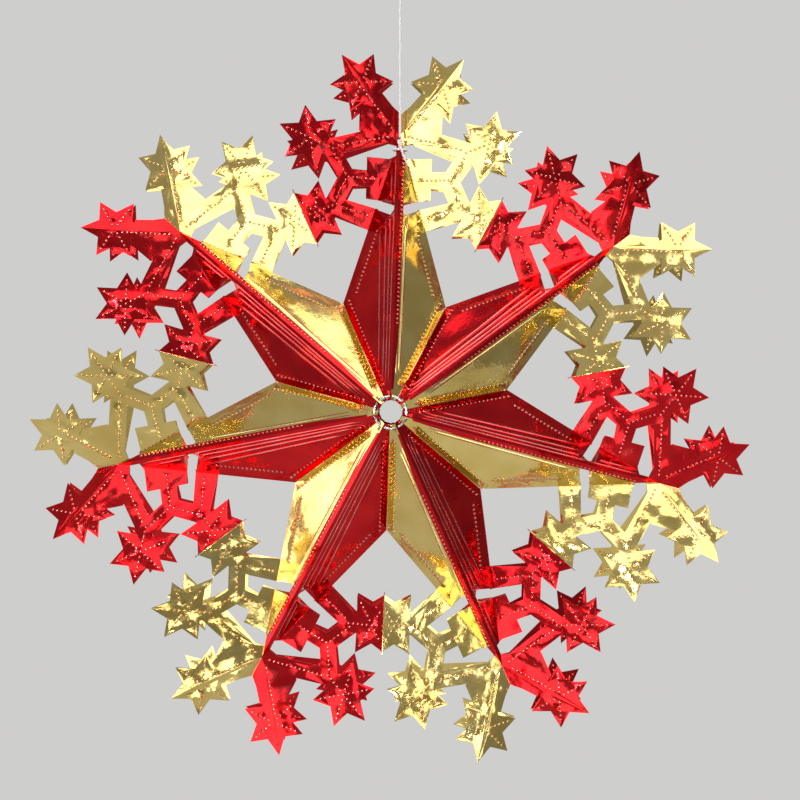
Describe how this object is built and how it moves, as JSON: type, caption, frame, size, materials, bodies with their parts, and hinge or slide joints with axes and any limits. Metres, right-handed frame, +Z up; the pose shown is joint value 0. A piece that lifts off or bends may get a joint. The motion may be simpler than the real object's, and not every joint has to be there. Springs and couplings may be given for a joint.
{
  "type": "hanging foil snowflake star",
  "caption": "Folded red and gold metallised-foil star with lace of small cut-out stars, strung on wire rings and hung on a pale thread.",
  "frame": {"origin": "top of the hanging loop, where a hook bears", "axes": "+Z up along the taut thread, the front faces -Y, +X to the right seen from the front"},
  "size_m": [0.499, 0.0968, 0.5689],
  "materials": {
    "red_foil": "red metallised film, mirror bright",
    "gold_foil": "pale gold metallised film, mirror bright",
    "ring_wire": "bright plated wire",
    "thread": "pale twisted thread with a slight sheen"
  },
  "bodies": {
    "thread": {"hanging_thread": "thread"},
    "star": {"ray_1_front_red_leaf": "red_foil", "ray_1_front_gold_leaf": "gold_foil", "ray_1_back_red_leaf": "red_foil", "ray_1_back_gold_leaf": "gold_foil", "ray_2_front_red_leaf": "red_foil", "ray_2_front_gold_leaf": "gold_foil", "ray_2_back_red_leaf": "red_foil", "ray_2_back_gold_leaf": "gold_foil", "ray_3_front_red_leaf": "red_foil", "ray_3_front_gold_leaf": "gold_foil", "ray_3_back_red_leaf": "red_foil", "ray_3_back_gold_leaf": "gold_foil", "ray_4_front_red_leaf": "red_foil", "ray_4_front_gold_leaf": "gold_foil", "ray_4_back_red_leaf": "red_foil", "ray_4_back_gold_leaf": "gold_foil", "ray_5_front_red_leaf": "red_foil", "ray_5_front_gold_leaf": "gold_foil", "ray_5_back_red_leaf": "red_foil", "ray_5_back_gold_leaf": "gold_foil", "ray_6_front_red_leaf": "red_foil", "ray_6_front_gold_leaf": "gold_foil", "ray_6_back_red_leaf": "red_foil", "ray_6_back_gold_leaf": "gold_foil", "ray_7_front_red_leaf": "red_foil", "ray_7_front_gold_leaf": "gold_foil", "ray_7_back_red_leaf": "red_foil", "ray_7_back_gold_leaf": "gold_foil", "front_wire_ring": "ring_wire", "back_wire_ring": "ring_wire", "thread_hitch": "thread"}
  },
  "joints": [
    {"name": "star_turns_on_thread", "type": "hinge", "parent": "thread", "child": "star", "pos_m": [0, 0, -0.131], "axis": [0, 0, 1], "continuous": true}
  ]
}
